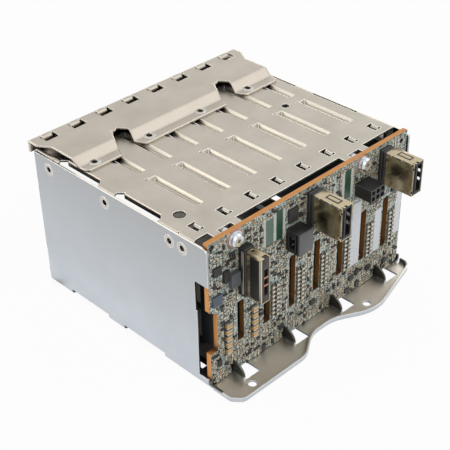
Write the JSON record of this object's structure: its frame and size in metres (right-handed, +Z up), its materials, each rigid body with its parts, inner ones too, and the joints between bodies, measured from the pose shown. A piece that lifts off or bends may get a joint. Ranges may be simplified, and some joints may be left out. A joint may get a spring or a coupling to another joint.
{
  "type": "hot swap drive cage",
  "caption": "Sheet steel drive cage for upright 2.5 inch drives, with ribbed cover, front bridge plate, rear fixing flange and a populated backplane with cable ports.",
  "frame": {"origin": "underside of the base, at mid width, about mid depth of the side walls", "axes": "+Z up, +Y to the rear with the backplane and the fixing flange, +X across the bays"},
  "size_m": [0.1424, 0.1453, 0.0856],
  "materials": {
    "tub_steel": "zinc plated sheet",
    "cover_steel": "zinc plated sheet, warm",
    "rivet_steel": "zinc plated",
    "board": "green solder mask crowded with parts, tan cut edges",
    "black_plastic": "moulded",
    "shell_metal": "dull plated shell",
    "contact_metal": "plated",
    "screw_steel": "bright zinc",
    "chip_black": "moulded",
    "inductor_grey": "pressed powder",
    "capacitor_tan": "fired ceramic",
    "label_white": "paper"
  },
  "bodies": {
    "cage": {"cage_tub": "tub_steel", "top_cover": "cover_steel", "front_bridge": "cover_steel", "bridge_rivets": "rivet_steel", "cover_rivets": "rivet_steel", "backplane_board": "board", "board_standoffs": "screw_steel", "drive_contacts": "contact_metal", "port_base_1": "black_plastic", "port_shell_1": "shell_metal", "port_contacts_1": "contact_metal", "port_base_2": "black_plastic", "port_shell_2": "shell_metal", "port_contacts_2": "contact_metal", "slim_port_base": "black_plastic", "slim_port_shell": "shell_metal", "slim_port_plate": "black_plastic", "power_header_1": "black_plastic", "header_pins_1": "contact_metal", "power_header_2": "black_plastic", "header_pins_2": "contact_metal", "ic_top": "chip_black", "ic_near": "chip_black", "ic_corner": "chip_black", "ic_block": "chip_black", "inductor": "inductor_grey", "large_capacitors": "capacitor_tan", "small_capacitors": "capacitor_tan", "board_labels": "label_white", "drive_connector_1": "black_plastic", "drive_connector_2": "black_plastic", "drive_connector_3": "black_plastic", "drive_connector_4": "black_plastic", "drive_connector_5": "black_plastic", "drive_connector_6": "black_plastic", "drive_connector_7": "black_plastic", "drive_connector_8": "black_plastic"},
    "screw_washer_1": {"screw_washer_1": "screw_steel"},
    "board_screw_1": {"board_screw_1": "screw_steel"},
    "screw_washer_2": {"screw_washer_2": "screw_steel"},
    "board_screw_2": {"board_screw_2": "screw_steel"}
  },
  "joints": [
    {"name": "screw_travel_1", "type": "slide", "parent": "cage", "child": "screw_washer_1", "axis": [0, 1, 0], "range_m": [0, 0.0064]},
    {"name": "screw_turn_1", "type": "hinge", "parent": "screw_washer_1", "child": "board_screw_1", "pos_m": [0.0525, 0.0615, 0.0769], "axis": [0, 1, 0], "range_deg": [0, 2880]},
    {"name": "screw_travel_2", "type": "slide", "parent": "cage", "child": "screw_washer_2", "axis": [0, 1, 0], "range_m": [0, 0.0064]},
    {"name": "screw_turn_2", "type": "hinge", "parent": "screw_washer_2", "child": "board_screw_2", "pos_m": [-0.035, 0.0615, 0.0769], "axis": [0, 1, 0], "range_deg": [0, 2880]}
  ],
  "couplings": [
    {"joint": "screw_turn_1", "follows": "screw_travel_1", "rad_per_m": 7853.9},
    {"joint": "screw_turn_2", "follows": "screw_travel_2", "rad_per_m": 7853.9}
  ]
}
